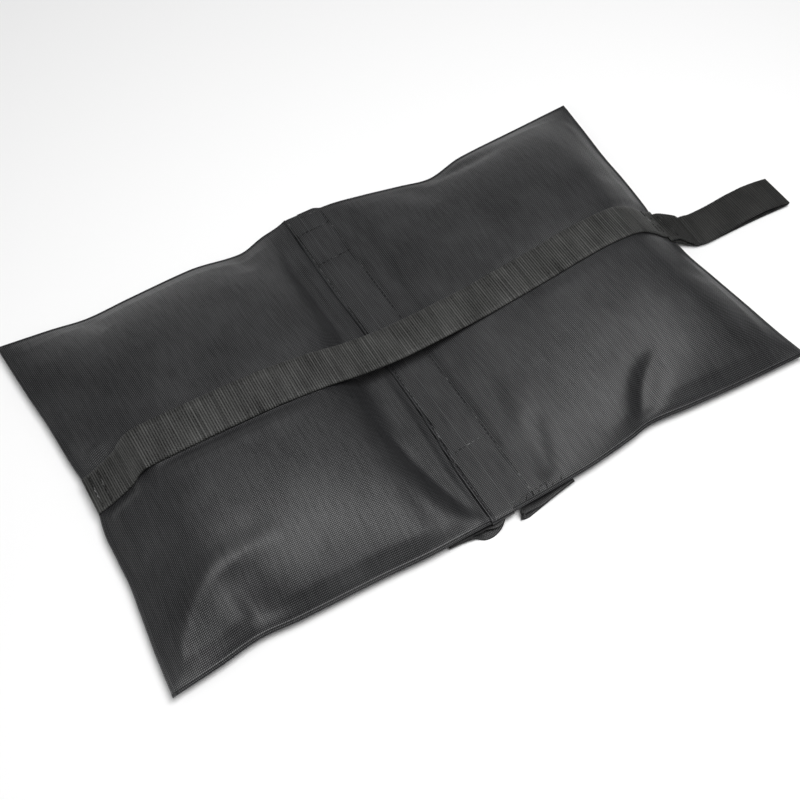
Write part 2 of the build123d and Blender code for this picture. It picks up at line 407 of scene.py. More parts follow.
fabric = woven("pouch_cloth", (0.001, 0.001, 0.0012), (0.036, 0.0366, 0.039), 1.17, 0.07, 0.46, 0.03, 0.55)
flap_cloth = woven("flap_cloth", (0.001, 0.001, 0.001), (0.03, 0.03, 0.031), 1.17, 0.07, 0.5, 0.03, 0.5)
strap_weave = ribbed("strap_weave", (0.003, 0.003, 0.003), (0.05, 0.0505, 0.0475), 1.8, 0.6, 0.06, 0.4, 0.6)
loop_weave = ribbed("loop_weave", (0.003, 0.003, 0.003), (0.024, 0.024, 0.0225), 1.8, 0.6, 0.03, 0.3, 0.3)
tape_weave = woven(
    "tape_weave", (0.015, 0.015, 0.016), (0.06, 0.06, 0.062), 0.5, 0.05, 0.6, 0.1, kind="Object"
)
thread = sewn_thread("sewing_thread", (0.0, 0.0, 0.0), (0.2, 0.2, 0.2))
hooks = grained("hook_tape_plastic", (0.012, 0.012, 0.012), (0.05, 0.05, 0.05), 0.8, 0.5, 0.4)
pile = grained("loop_tape_pile", (0.02, 0.02, 0.02), (0.075, 0.075, 0.075), 0.5, 0.6, 0.85, 0.5)
nylon = grained("zip_nylon", (0.015, 0.015, 0.016), (0.03, 0.03, 0.031), 0.8, 0.01, 0.35)
enamel = grained("zip_enamel", (0.012, 0.012, 0.012), (0.03, 0.03, 0.03), 1.5, 0.02, 0.3, 0.0, 0.3)
film = grained("liner_film", (0.55, 0.55, 0.54), (0.72, 0.72, 0.71), 12.0, 0.4, 0.3)
sand = grained("washed_sand", (0.40, 0.31, 0.20), (0.72, 0.62, 0.46), 0.6, 0.5, 0.9)


# ---- the shape of the filled pouches ----
def plan(side, columns, rows):
    """Where a pouch panel's points are, as seen from above. columns are shares from the outer end inwards."""
    s, t = np.meshgrid(columns, rows, indexing="ij")
    outer = smooth(end_line[side], -seam_y + 2 * seam_y * t)
    x = outer + (inner_line[side] - outer) * s
    y = smooth(front_edge, x) * (1 - t) + smooth(back_edge, x) * t
    return x, y


def across(x, y):
    """Where a point is between the front seam, -1, and the back seam, 1."""
    front, back = smooth(front_edge, x), smooth(back_edge, x)
    return (2 * y - front - back) / (back - front)


def from_long_seam(x, y):
    """How far a point is from the nearer of the front and back seams."""
    return (1 - np.abs(across(x, y))) * half_width


def crown(side, x, y):
    """The height of the pouch fabric where the sand lifts it."""
    outer = smooth(end_line[side], y)
    edge = strip_edge[side]
    along = edge + (x - edge) * (end_x[side] - edge) / (outer - edge)
    t = across(x, y)
    if side == LEFT:  # the valley beside the saddle runs closer to the strip at the front and back
        in_front = 22 * np.clip((-y - 60) / 90, 0, 1) ** 2
        behind = 10 * ramp(y, 0, 40) + 8 * ramp(y, 100, 150)
        shift = (in_front + behind) * (1 - ramp(np.abs(along), 50, 120))
        along = np.where(along < edge, np.minimum(along - shift, edge), along)
    rise = smooth(profile[side], along) - seam_top
    return seam_top + rise * (1 - np.abs(t) ** section_power)


def underside(side, x, y):
    """The height of the pouch's underside: flat under the sand, raised at the seams and the zip."""
    from_end = np.abs(smooth(end_line[side], y) - x)
    from_seam = from_long_seam(x, y)
    out = np.abs(x - fold_x)
    flat = ramp(from_end, 6, 44) * ramp(from_seam, 6, 40) * ramp(out, 49, 68)
    edge = 0.9 * np.exp(-np.minimum(from_end, from_seam) / 5)
    ripples = 0.35 * flat * (1 + np.sin(x / 9.0 + 2 * np.sin(y / 31.0)))
    return seam_lift * (1 - flat) + edge + ripples


def fold(x, y, way, width, height, lean=1.0):
    """The height that a soft fold adds. way is its start, a point that it bends towards and its end.

    The fold is lean times as wide to the right of its way as to the left.
    """
    a, b, c = (np.array(p, float) for p in way)
    t = np.linspace(0, 1, 60)
    line = (1 - t)[:, None] ** 2 * a + (2 * t * (1 - t))[:, None] * b + t[:, None] ** 2 * c
    d2 = (x[..., None] - line[:, 0]) ** 2 + (y[..., None] - line[:, 1]) ** 2
    nearest = np.argmin(d2, -1)
    gap = np.take_along_axis(d2, nearest[..., None], -1)[..., 0]
    heading = np.gradient(line, axis=0)[nearest]
    on_right = heading[..., 0] * (y - line[nearest, 1]) - heading[..., 1] * (x - line[nearest, 0]) < 0
    width = np.where(on_right, width * lean, width)
    return height * np.sin(pi * (0.08 + 0.9 * t[nearest])) ** 0.8 * np.exp(-gap / width**2)


folds = {
    LEFT: [
        (((-244, -150), (-222, -100), (-176, -96)), 9, 4.0),  # ridge from the front corner
        (((-190, -100), (-165, -97), (-138, -100)), 9, 1.6),
        (((-178, -152), (-181, -130), (-186, -102)), 8, -4.8, 2.2),  # dimple above the front seam
        (((-240, -88), (-224, -76), (-214, -52)), 8, -2.2),
        (((-240, 108), (-226, 72), (-234, 40)), 11, -3.2),
        (((-238, 30), (-226, 26), (-212, 24)), 7, 2.0),
        (((-118, -146), (-121, -125), (-116, -100)), 7, -1.0),
        (((-50, -146), (-58, -125), (-60, -100)), 7, -1.2),
        (((-48, -50), (-42, -103), (-21, -151)), 5, -3.2),  # valley beside the saddle
        (((-30, 24), (-31, 80), (-32, 136)), 5, -2.8),
        (((-190, 150), (-184, 128), (-176, 110)), 9, -2.0),
        (((-60, 150), (-62, 128), (-66, 110)), 8, -2.5),
    ],
    RIGHT: [
        (((112, -148), (120, -112), (150, -105)), 6.5, -5.6, 2.0),  # crescent fold above the front seam
        (((98, -146), (104, -104), (140, -90)), 11, 1.4),
        (((30, -147), (39, -118), (49, -92)), 7, -2.2),
        (((31, -106), (35, -76), (39, -42)), 8, -1.2),
        (((27, 28), (29, 80), (34, 132)), 6, -1.8),  # valley beside the saddle
        (((104, 136), (138, 122), (172, 130)), 7, -2.6),  # crease behind the back seam
        (((76, 146), (88, 120), (96, 100)), 10, -1.5),
        (((236, -70), (222, -62), (206, -58)), 8, -1.5),
        (((238, 60), (224, 52), (208, 50)), 8, -1.2),
    ],
}


def grid_lines(side, rows=75):
    """Shares for a pouch's columns, from the outer end inwards, closer together in the sewn strip."""
    outer, inner, edge = end_x[side], inner_line[side], strip_edge[side]
    total = abs(outer - inner)
    free = np.linspace(0, abs(outer - edge) / total, 56)
    strip = np.linspace(abs(outer - edge) / total, 1, 4 if side == LEFT else 8)[1:]
    return np.concatenate([free, strip]), np.linspace(0, 1, rows)


def sewn_places(side, x):
    """Which of a panel's points are held: those along its seams and in the sewn strip."""
    sewn = np.abs(x - fold_x) <= abs(strip_edge[side] - fold_x) + 0.5
    sewn[0], sewn[:, 0], sewn[:, -1] = True, True, True
    return sewn


cloth_slack = 1.012  # the cloth is this many times as long as the pouch
cloth_width = 301.0
settle_frames = 26


def settle(side, x, y, z, columns, rows):
    """The panel's points after its cloth has settled on the sand, by cloth simulation."""
    flat_length = abs(x[0, 0] - inner_line[side]) * cloth_slack
    flat_x = (x[0].mean() - side * (columns[:, None] * flat_length)) * np.ones_like(x)
    flat_y = (rows[None, :] - 0.5) * cloth_width * np.ones_like(x)
    start = np.stack([x, y, z + 1.2], -1)  # just above the sand
    sewn = sewn_places(side, x)
    start[sewn, 2] = z[sewn]
    faces = grid_faces(*x.shape)
    if side == RIGHT:
        faces = faces[:, ::-1]
    cloth = mesh_object("cloth", start.reshape(-1, 3), faces)
    cloth.shape_key_add(name="lying")
    flat = cloth.shape_key_add(name="flat")
    flat.data.foreach_set("co", world(np.stack([flat_x, flat_y, z * 0], -1)).astype(np.float32).ravel())
    flat.value = 0.0
    group = cloth.vertex_groups.new(name="sewn")
    group.add(np.flatnonzero(sewn.ravel()).tolist(), 1.0, "REPLACE")
    modifier = cloth.modifiers.new("settle", "CLOTH")
    settings = modifier.settings
    settings.quality = 5
    settings.mass = 0.25
    settings.tension_stiffness = 40
    settings.compression_stiffness = 40
    settings.shear_stiffness = 20
    settings.bending_stiffness = 6
    settings.air_damping = 3
    settings.vertex_group_mass = "sewn"
    settings.rest_shape_key = flat
    modifier.collision_settings.distance_min = 0.001
    modifier.collision_settings.use_self_collision = False
    low = z - 1.0 - 3.0 * sewn  # the mound keeps clear of the sewn edges
    mound = mesh_object("mound", np.stack([x, y, low], -1).reshape(-1, 3), faces)
    mound.modifiers.new("sand", "COLLISION")
    mound.collision.thickness_outer = 0.001
    mound.collision.cloth_friction = 8
    scene = bpy.context.scene
    scene.frame_start, scene.frame_end = 1, settle_frames
    modifier.point_cache.frame_start, modifier.point_cache.frame_end = 1, settle_frames
    for frame_number in range(1, settle_frames + 1):
        scene.frame_set(frame_number)
    settled = cloth.evaluated_get(bpy.context.evaluated_depsgraph_get())
    co = np.zeros(x.size * 3, np.float32)
    settled.data.vertices.foreach_get("co", co)
    scene.frame_set(1)
    for made in (cloth, mound):
        bpy.data.objects.remove(made)
    moved = co.reshape(*x.shape, 3).astype(float) / MM
    moved[..., 0] -= middle_x
    moved[sewn] = start[sewn]
    return moved


def eased(grid, fixed, times):
    """Evens out small ripples of a settled cloth."""
    for _ in range(times):
        mean = grid.copy()
        mean[1:-1, 1:-1] = (grid[:-2, 1:-1] + grid[2:, 1:-1] + grid[1:-1, :-2] + grid[1:-1, 2:]) / 4
        mean[fixed] = grid[fixed]
        grid = (grid + mean) / 2
    return grid


def outline_of(grid):
    """Indices of the points along the seam, from the inner front corner round to the inner back corner."""
    n, m = grid.shape[:2]
    front = [(i, 0) for i in range(n - 1, 0, -1)]
    end = [(0, j) for j in range(m)]
    back = [(i, m - 1) for i in range(1, n)]
    return np.array(front + end + back)


def outward(line):
    """The way out of the bag at each point of its outline, with square corners left sharp."""
    step = np.diff(line[:, :2], axis=0)
    normal = np.stack([step[:, 1], -step[:, 0]], -1)
    normal /= np.linalg.norm(normal, axis=1)[:, None]
    before = np.concatenate([normal[:1], normal])
    after = np.concatenate([normal, normal[-1:]])
    both = before + after
    return 2 * both / (both**2).sum(1)[:, None]


# ---- the carry strap's line: place along the bag, height of its middle, and roll in degrees ----
strap_line = [
    (-239, 8.8), (-230, 12.8), (-218, 20.0), (-212, 24.8), (-206, 32.6), (-201, 36.2), (-190, 38),
    (-150, 38.6), (-110, 37.6), (-72, 32.6), (-33, 23.6), (0, 20), (50, 21.2), (94, 26.2), (121, 30.4),
    (147, 35.2), (174, 38.2), (193, 37.2), (205, 32.4), (216, 24.4), (228, 14), (236, 9.4),
]
strap_roll = [(-239, 0), (-205, 4), (-190, 9), (-130, 8), (-60, 3), (0, 0), (240, 0)]
strap_thick = 1.6


def lap_at(y):
    """Where the folded edge runs."""
    return lap_edge + 0.3 * np.sin(y / 17.0) - 4.0 * ramp(y, -30, -115) + 0.5 * ramp(y, 120, 150)


strip_height = right_profile[0][1]


def strap_height(x, y):
    """The height of the middle of the strap's thickness."""
    return smooth(strap_line, x) + y * np.tan(np.radians(smooth(strap_roll, x)))


def place_between(obj, side, first_out=2.0, last_out=15.0):
    """Bakes the piece's place into its mesh. The two places beside the fold that it works out, first_out and
    last_out from the fold line, are not used.
    """
    start, end = (world([fold_x + side * out, 0, 0]) for out in (first_out, last_out))
    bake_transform(obj)


surfaces, top_grids = {}, {}
for side, side_name in SIDE_NAME.items():
    columns, rows = grid_lines(side)
    x, y = plan(side, columns, rows)
    z = crown(side, x, y)
    grid = settle(side, x, y, z, columns, rows)
    grid = refine(eased(grid, sewn_places(side, x), 3), 2)
    fx, fy = grid[..., 0], grid[..., 1]
    from_end = np.abs(smooth(end_line[side], fy) - fx)
    from_seam = np.minimum(from_long_seam(fx, fy), from_end)
    grid[..., 2] = seam_top + (grid[..., 2] - seam_top) * (0.6 + 0.4 * np.clip(from_seam / 12, 0, 1))
    inside = ramp(1 - np.abs(across(fx, fy)), 0.0, 0.09) * ramp(from_end, 0, 14)
    inside = inside * ramp(np.abs(fx - fold_x), abs(strip_edge[side] - fold_x), 24)
    for bend in folds[side]:
        grid[..., 2] += inside * fold(fx, fy, *bend)
    if side == LEFT:  # the cloth goes in under the lap
        under_lap = strip_height - 1.0 + 0.045 * np.maximum(lap_at(fy) - fx, 0) ** 2
        grid[..., 2] = np.minimum(grid[..., 2], under_lap)
    else:  # the stitches draw the cloth down
        grid[np.argmin(np.abs(fx[:, 40] - strip_edge[side])), 2:-2, 2] -= 0.2
    under_strap = strap_height(fx, fy) - strap_thick / 2 - 0.5
    grid[..., 2] -= np.maximum(grid[..., 2] - under_strap, 0) * ramp(np.abs(fy), 26, 15) * (np.abs(fx) < 234)
    above_bottom = np.maximum(grid[..., 2], underside(side, fx, fy) + 1.0)
    grid[1:-1, 1:-1, 2] = above_bottom[1:-1, 1:-1]
    top_grids[side] = grid

    # The cloth's own flat coordinates
    fine_s = refine(np.repeat(columns[:, None], 2, 1)[..., None], 2)[:, 0, 0]
    flat_x = side * (1 - fine_s) * 240
    flat_y = np.linspace(-150, 150, grid.shape[1])
    uv = np.stack(np.meshgrid(flat_x, flat_y, indexing="ij"), -1) * MM

    # The turned seam: the fabric rolls over the edge all round
    index = outline_of(grid)
    line = grid[index[:, 0], index[:, 1]]
    if side == RIGHT:
        index, line = index[::-1], line[::-1]
    out = outward(line)
    line_uv = uv[index[:, 0], index[:, 1]]
    panel = Build()
    numbers = panel.grid(grid, uv)
    if side == RIGHT:
        panel.faces = [f[::-1] for f in panel.faces]
    roll_points, roll_uv = [], []
    for turn in (30, 60, 90, 120, 150, 180):
        reach_out, drop = seam_roll * sin(radians(turn)), seam_roll * (1 - cos(radians(turn)))
        ring = line.copy()
        ring[:, :2] += out * reach_out
        ring[:, 2] -= drop
        roll_points.append(ring)
        roll_uv.append(line_uv + out * radians(turn) * seam_roll * MM)
    tuck = line.copy()  # the cloth's edge, turned in under the panel
    tuck[:, :2] -= out * turned_in
    tuck[:, 2] -= 2 * seam_roll - 0.4
    roll_points.append(tuck)
    roll_uv.append(line_uv + out * (pi * seam_roll + turned_in) * MM)
    ring_numbers = panel.grid(roll_points, roll_uv)
    first = numbers[index[:, 0], index[:, 1]]
    joined = np.concatenate([first[None], ring_numbers[:1]])
    quads = np.stack([joined[:-1, :-1], joined[1:, :-1], joined[1:, 1:], joined[:-1, 1:]], -1).reshape(-1, 4)
    panel.faces += quads.tolist()
    top = panel.done(f"top_cloth_{side_name}", fabric)
    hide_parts(f"top_panel_{side_name}")
    surfaces[side] = top
    place_between(top, side)


# ---- undersides, each slit along its zip ----
slit_half_width = 1.9
beside_zip = 7  # the grid is finer this near to the zip
for side, side_name in SIDE_NAME.items():
    inner = fold_x + side * 8.4
    zip_place = zip_x[side]
    outer = end_x[side]
    lines = [
        np.linspace(outer, zip_place + side * beside_zip, 48),
        np.linspace(zip_place + side * beside_zip, zip_place + side * slit_half_width, 4)[1:],
        np.linspace(zip_place - side * slit_half_width, zip_place - side * beside_zip, 4),
        np.linspace(zip_place - side * beside_zip, inner, 5)[1:],
    ]
    slit_column = len(lines[0]) + len(lines[1]) - 1
    columns = (np.concatenate(lines) - outer) / (inner - outer)
    rows = np.linspace(0, 1, 76)
    s, t = np.meshgrid(columns, rows, indexing="ij")
    outer_x = smooth(end_line[side], -seam_y + 2 * seam_y * t)
    near_zip = ramp(s, 0.0, 0.6)
    x = outer_x + (outer - outer_x) * near_zip + (inner - outer) * s
    y = smooth(front_edge, x) * (1 - t) + smooth(back_edge, x) * t
    z = underside(side, x, y)
    grid = np.stack([x, y, z], -1)
    skip = np.zeros((grid.shape[0] - 1, grid.shape[1] - 1), bool)
    skip[slit_column] = np.abs(y[slit_column, :-1] + 2) < zip_reach + 1
    bottom = Build()
    bottom.grid(grid, np.stack([x, y], -1) * MM, skip=skip)
    if side == LEFT:
        bottom.faces = [f[::-1] for f in bottom.faces]
    under = bottom.done(f"bottom_cloth_{side_name}", fabric)
    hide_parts(f"bottom_panel_{side_name}")
    place_between(under, side)


# ---- the sand in its liner ----
sand_starts = {LEFT: 32.0, RIGHT: 24.0}  # how far out from the fold line the fill begins


def closed_block(name, side, inset, material):
    """A closed block that fills the pouch, this far inside its fabric."""
    grid = top_grids[side][::2, ::2]
    keep = np.abs(grid[:, 0, 0] - fold_x) > sand_starts[side] + inset
    grid = grid[keep].copy()
    middle = np.array([grid[..., 0].mean(), 0])
    size = np.ptp(grid[..., :2], axis=(0, 1))
    grid[..., :2] = middle + (grid[..., :2] - middle) * (1 - 2 * inset / size - 0.02)
    below = grid.copy()
    bottom_z = underside(side, grid[..., 0], grid[..., 1])
    halfway = (grid[..., 2] + bottom_z) / 2
    t = across(grid[..., 0], grid[..., 1])
    shy = inset + 1.6 + 2.5 * np.abs(t) ** 6
    below[..., 2] = np.minimum(bottom_z + inset + 1.0, halfway - 0.15)
    grid[..., 2] = np.maximum(grid[..., 2] - shy, halfway + 0.15)
    n, m = grid.shape[:2]
    block = Build()
    uv = grid[..., :2] * MM
    top_numbers = block.grid(grid, uv)
    low_numbers = block.grid(below, uv)
    upper, lower = grid_faces(n, m), grid_faces(n, m, first=n * m)[:, ::-1]
    rim = [(i, 0) for i in range(n)] + [(n - 1, j) for j in range(1, m)]
    rim += [(i, m - 1) for i in range(n - 2, -1, -1)] + [(0, j) for j in range(m - 2, 0, -1)]
    i, j = np.array(rim).T
    a, b = top_numbers[i, j], low_numbers[i, j]
    wall = np.stack([b, np.roll(b, -1), np.roll(a, -1), a], -1)
    faces = np.concatenate([upper, lower, wall])
    if grid[-1, 0, 0] < grid[0, 0, 0]:
        faces = faces[:, ::-1]
    block.faces = faces.tolist()
    return block.done(name, material)


fills = (("sand_liner", 0.4, film, "liner_film"), ("sand_fill", 1.2, sand, "sand"))
for side, side_name in SIDE_NAME.items():
    for kind, inset, material, slot in fills:
        block = closed_block(f"{kind}_shape_{side_name}", side, inset, material)
        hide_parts(f"{kind}_{side_name}")
        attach(block, f"{side_name}_pouch")


# ---- the lap: the right panel's folded edge, sewn over the left panel ----
lap_section = [  # share of the way from the fold line to the folded edge, height above the strip
    (0.0, 0.0), (0.25, 0.05), (0.55, 0.05), (0.78, 0.05), (0.84, -0.35), (0.88, 0.15), (0.94, 0.4),
    (0.985, 0.2), (1.0, -0.3), (0.985, -0.75), (0.93, -1.0), (0.6, -1.2), (0.3, -1.2), (0.0, -1.2),
]
lap = Build()
front_end, back_end = [-151.6, -151.5, -150.9, -150.0], [152.6, 153.2, 153.5, 153.5]
lap_y = np.concatenate([front_end, np.linspace(-148.6, 151.4, 151), back_end])
drop = np.concatenate([[2.6, 1.6, 0.8, 0.25], np.zeros(151), [0.0, 0.1, 0.4, 1.0]])  # both ends turn down
share, lift = np.array(lap_section).T
lap_x = fold_x + (lap_at(lap_y)[:, None] - fold_x) * share[None, :]
squeeze = 1 - 0.5 * (drop > 0.5)  # and are pressed thin there
lap_z = strip_height - drop[:, None] + lift[None, :] * squeeze[:, None]
lap_points = np.stack([lap_x, np.repeat(lap_y[:, None], len(share), 1), lap_z], -1)
lap.grid(lap_points, np.stack([lap_x - lap_z, lap_points[..., 1]], -1) * MM)
lap_piece = lap.done("saddle_lap", fabric)
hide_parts("saddle_strip")
place_between(lap_piece, LEFT)


# ---- webbing ----
def run_along(points):
    """How far along a line each of its points is."""
    return np.concatenate([[0], np.cumsum(np.linalg.norm(np.diff(points, axis=0), axis=1))])


def even_steps(line, count):
    """This many points of a line, at even steps. The first three numbers of each point are its place."""
    run = run_along(line[:, :3])
    even = np.linspace(0, run[-1], count)
    return np.stack([np.interp(even, run, column) for column in line.T], -1)


def even_path(points, step=None, count=None):
    """A smooth line through these points, at even steps of this length or with this many points."""
    points = np.array(points, float)
    run = run_along(points[:, :3])
    dense = np.linspace(0, run[-1], int(run[-1] / 0.5) + 2)
    line = np.stack([smooth(list(zip(run, column)), dense) for column in points.T], -1)
    return even_steps(line, count or int(round(run_along(line[:, :3])[-1] / step)) + 1)


def webbing_band(name, path, width, thick, material, rib=1.8, relief=0.17, sides=8):
    """A band of ribbed webbing. path gives its middle's place, and its roll in radians, at even steps."""
    path, rolls = path[:, :3], path[:, 3]
    run = run_along(path)
    along = np.gradient(path, axis=0)
    along /= np.linalg.norm(along, axis=1)[:, None]
    # The ribs stay parallel where the band bends sideways, square to the way of its main stretch
    main_stretch = path[np.argmax(np.abs(path[:, 0] - path[0, 0]))] - path[len(path) // 5]
    level = np.array([-main_stretch[1], main_stretch[0], 0.0]) / np.hypot(*main_stretch[:2])
    side_way = level * np.ones_like(along)
    normal = np.cross(along, side_way)
    normal /= np.linalg.norm(normal, axis=1)[:, None]
    c, s = np.cos(rolls)[:, None], np.sin(rolls)[:, None]
    side_way, normal = side_way * c + normal * s, normal * c - side_way * s
    ridge = np.cos(2 * pi * run / rib) + 0.45 * np.cos(pi * run / rib + 0.6)
    places = np.linspace(-1, 1, sides + 1)
    flat_half = width / 2 - 0.35  # the selvedge is rounded outside this
    ring = [(p * flat_half, 1) for p in places] + [(width / 2, 0)]
    ring += [(p * flat_half, -1) for p in places[::-1]] + [(-width / 2, 0)]
    points, uv = [], []
    for across_at, face in ring:
        edge = 1.0 if face == 0 else 0.0
        rib_share = 0.35 if abs(across_at) > width / 2 - 0.5 else 1.0
        lift = face * (thick / 2 + relief * (ridge - 0.6) * rib_share)
        reach_at = across_at + np.sign(across_at) * edge * relief * 1.3 * (ridge - 0.4)
        points.append(path + side_way * reach_at[:, None] + normal * lift[:, None])
        uv.append(np.stack([run, np.full_like(run, across_at)], -1) * MM)
    band = Build()
    numbers = band.grid(np.stack(points, 1), np.stack(uv, 1), closed=True)
    n = len(places)
    for row, flip in ((0, False), (-1, True)):
        upper, lower = numbers[row][:n], numbers[row][n + 1:2 * n + 1][::-1]
        band.strip(upper, lower, flip)
        band.cap([lower[-1], upper[-1], numbers[row][n]], flip)
        band.cap([upper[0], lower[0], numbers[row][-1]], flip)
    band.faces = [f[::-1] for f in band.faces]
    return band.done(name, material)


rib_step = 0.45
for side, side_name in SIDE_NAME.items():
    ends = (strap_line[0][0], fold_x) if side == LEFT else (fold_x, strap_line[-1][0])
    x = np.linspace(*ends, 400)
    wander = 0.6 * np.sin(x / 60.0)
    rolls = np.radians(smooth(strap_roll, x))
    line = np.stack([x, wander, smooth(strap_line, x), rolls], -1)
    ribs = int(round(run_along(line[:, :3])[-1] / rib_step / 4))
    path = even_steps(line, ribs * 4 + 1)
    half_strap = webbing_band(f"carry_strap_{side_name}_half", path, webbing_width, strap_thick, strap_weave)
    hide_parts("carry_strap")
    place_between(half_strap, side, 0.5, 24.0)

# ---- the hang loop: one length of webbing, doubled, with both ends in the end seam ----
loop_path = [  # x, y, height, roll in degrees
    (231, -4.6, 11.8, 0), (238, -5.2, 10.9, 0), (244, -8.2, 9.0, 3), (250, -12.2, 6.9, 6),
    (253.5, -13.8, 4.9, 5), (256.5, -14.8, 5.4, 5), (264, -15.3, 4.5, 3), (274, -15.1, 4.5, 1),
    (288, -14.8, 5.2, 0), (302, -14.5, 6.4, 0), (316, -14.4, 6.7, 0), (330, -15.0, 6.0, 0),
    (339, -15.7, 5.2, 0), (342.2, -16.0, 4.6, 0), (343.0, -16.1, 3.6, 0), (342.2, -16.1, 2.5, 0),
    (336, -15.8, 1.9, 0), (320, -15.0, 1.4, 0), (300, -14.6, 1.3, 0), (280, -14.6, 1.3, 0),
    (264, -14.6, 1.4, 0), (254, -13.4, 1.8, 0), (247, -10.2, 4.0, 0), (240, -6.4, 7.6, 0),
    (232, -5.0, 9.0, 0),
]
path = even_path([(x, y, z, radians(turn)) for x, y, z, turn in loop_path], rib_step)
loop_thick = 1.3
loop_piece = webbing_band("hang_loop_webbing", path, webbing_width, loop_thick, loop_weave, relief=0.13)
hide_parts("hang_loop")
world([240, 0, 0])
world([254, 0, 0])
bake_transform(loop_piece)


# ---- stitching ----
def tree_of(*objects):
    """What lies on top of these pieces."""
    points, faces = [], []
    for piece in objects:
        faces += [[i + len(points) for i in p.vertices] for p in piece.data.polygons]
        points += [v.co.copy() for v in piece.data.vertices]
    return BVHTree.FromPolygons(points, faces)


def on_top(tree, x, y):
    """The height and the way up of the cloth at a place."""
    at = Vector(world([x, y, 100]))
    hit, normal, _, _ = tree.ray_cast(at, Vector((0, 0, -1)))
    if hit is None:
        return 0.0, np.array([0, 0, 1.0])
    normal = np.array(normal)
    return hit.z / MM, normal * (1 if normal[2] > 0 else -1)


stitch_bow = [  # share of the stitch's length from its middle, lift, share of the thread's radius
    (-0.5, -0.35, 0.5), (-0.42, 0.0, 0.8), (-0.2, 0.12, 1.0), (0.2, 0.12, 1.0), (0.42, 0.0, 0.8),
    (0.5, -0.35, 0.5),
]


def stitches(name, lines, tree, pitch=3.8, length=2.6, radius=0.22, sunk=0.04):
    """Lockstitches along straight lines or bends, each a short arched thread on the cloth."""
    build = Build()
    turns = np.linspace(0, 2 * pi, 7)[:-1]
    for line in lines:
        line = np.array(line, float)
        run = run_along(line)
        for at in np.arange(pitch / 2, run[-1], pitch):
            before, (x, y), after = (
                np.array([np.interp(place, run, column) for column in line.T])
                for place in (at - 0.5, at, at + 0.5)
            )
            z, normal = on_top(tree, x, y)
            along = np.array([*(after - before), 0.0])
            along -= normal * (along @ normal)
            along /= np.linalg.norm(along)
            sideways = np.cross(normal, along)
            rings = []
            for place_at, lift, thick in stitch_bow:
                centre = np.array([x, y, z]) + along * place_at * length + normal * (lift + radius - sunk)
                rings.append([centre + (sideways * cos(a) + normal * sin(a)) * radius * thick for a in turns])
            rings = np.array(rings)
            numbers = build.grid(rings, rings[..., :2] * MM, closed=True)
            build.cap(numbers[0])
            build.cap(numbers[-1], flip=True)
    return build.done(name, thread)


seen_from_above = tree_of(*surfaces.values(), lap_piece)
left_lines = [[(lap_at(y) + 2.1, y) for y in np.linspace(-147.0, 151.5, 80)]]
right_lines = [[(strip_edge[RIGHT], y) for y in np.linspace(-147.0, 148.0, 60)]]
for cross_y in (-93.5, 99.5, 133.0):
    left_lines.append([(fold_x, cross_y + 0.9), (-13.2, cross_y)])
    right_lines.append([(fold_x, cross_y + 0.9), (14.6, cross_y + 2.0)])
right_lines += [
    [(-2, -145.4), (15, -145.0), (31, -144.0)],
    [(fold_x, 149.6), (13.0, 149.6)],
]
for side, lines in ((LEFT, left_lines), (RIGHT, right_lines)):
    sewn = stitches(f"saddle_stitches_{SIDE_NAME[side]}", lines, seen_from_above)
    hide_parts("saddle_stitching")
    place_between(sewn, side)

whips = [  # the front seam is whipped down beside the fold: place along it, lean of the stitch
    (-3.0, 2.6), (3.5, 1.2), (8.0, 3.0), (14.5, 0.6), (18.5, 2.4), (25.5, 1.0), (29.5, 3.2), (37.0, 1.8),
]
whip_lines = []
for whip_x, lean in whips:
    edge_y = smooth(front_edge, np.array([whip_x]))[0]
    whip_lines.append([(whip_x, edge_y + 0.4), (whip_x + lean, edge_y + 4.0)])
whipping = stitches("saddle_whip_stitches", whip_lines, seen_from_above, length=3.2, radius=0.32)
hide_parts("saddle_stitching")
place_between(whipping, RIGHT)

# Bar tacks hold the strap and the hang loop in the end seams
tack_pitch, tack_length = 2.2, 1.9
for side, side_name in SIDE_NAME.items():
    tree = tree_of(bpy.data.objects[f"carry_strap_{side_name}_half"])
    places = (-234.5, -228.0) if side == LEFT else (229.5, 224.0)
    lines = [[(x + 0.4 * (i % 2), y) for i, y in enumerate(np.linspace(-13, 13, 12))] for x in places]
    tack = stitches(f"strap_tack_{side_name}_stitches", lines, tree, tack_pitch, tack_length, 0.3)
    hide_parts(f"strap_tack_{side_name}")
    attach(tack, f"{side_name}_pouch")

lines = [[(x, -17.5), (x, 7.5)] for x in (236.5, 239.5)]
tack = stitches("hang_loop_tack_stitches", lines, tree_of(loop_piece), tack_pitch, tack_length, 0.2, 0.12)
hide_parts("hang_loop_tack")
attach(tack, "right_pouch")


# ---- the closure flaps under the zips ----
def doubled(line, gap):
    """A line out along its upper side and back along its lower one, as a folded strip of cloth lies."""
    line = np.array(line, float)
    step = np.gradient(line, axis=0)
    normal = np.stack([-step[:, 1], step[:, 0]], -1)
    normal /= np.linalg.norm(normal, axis=1)[:, None]
    normal *= np.sign(normal[:, 1:2] + 1e-9)
    turn = line[-1] + (line[-1] - line[-2]) / np.linalg.norm(line[-1] - line[-2]) * gap * 0.8
    return np.concatenate([line + normal * gap / 2, [turn], (line - normal * gap / 2)[::-1]])


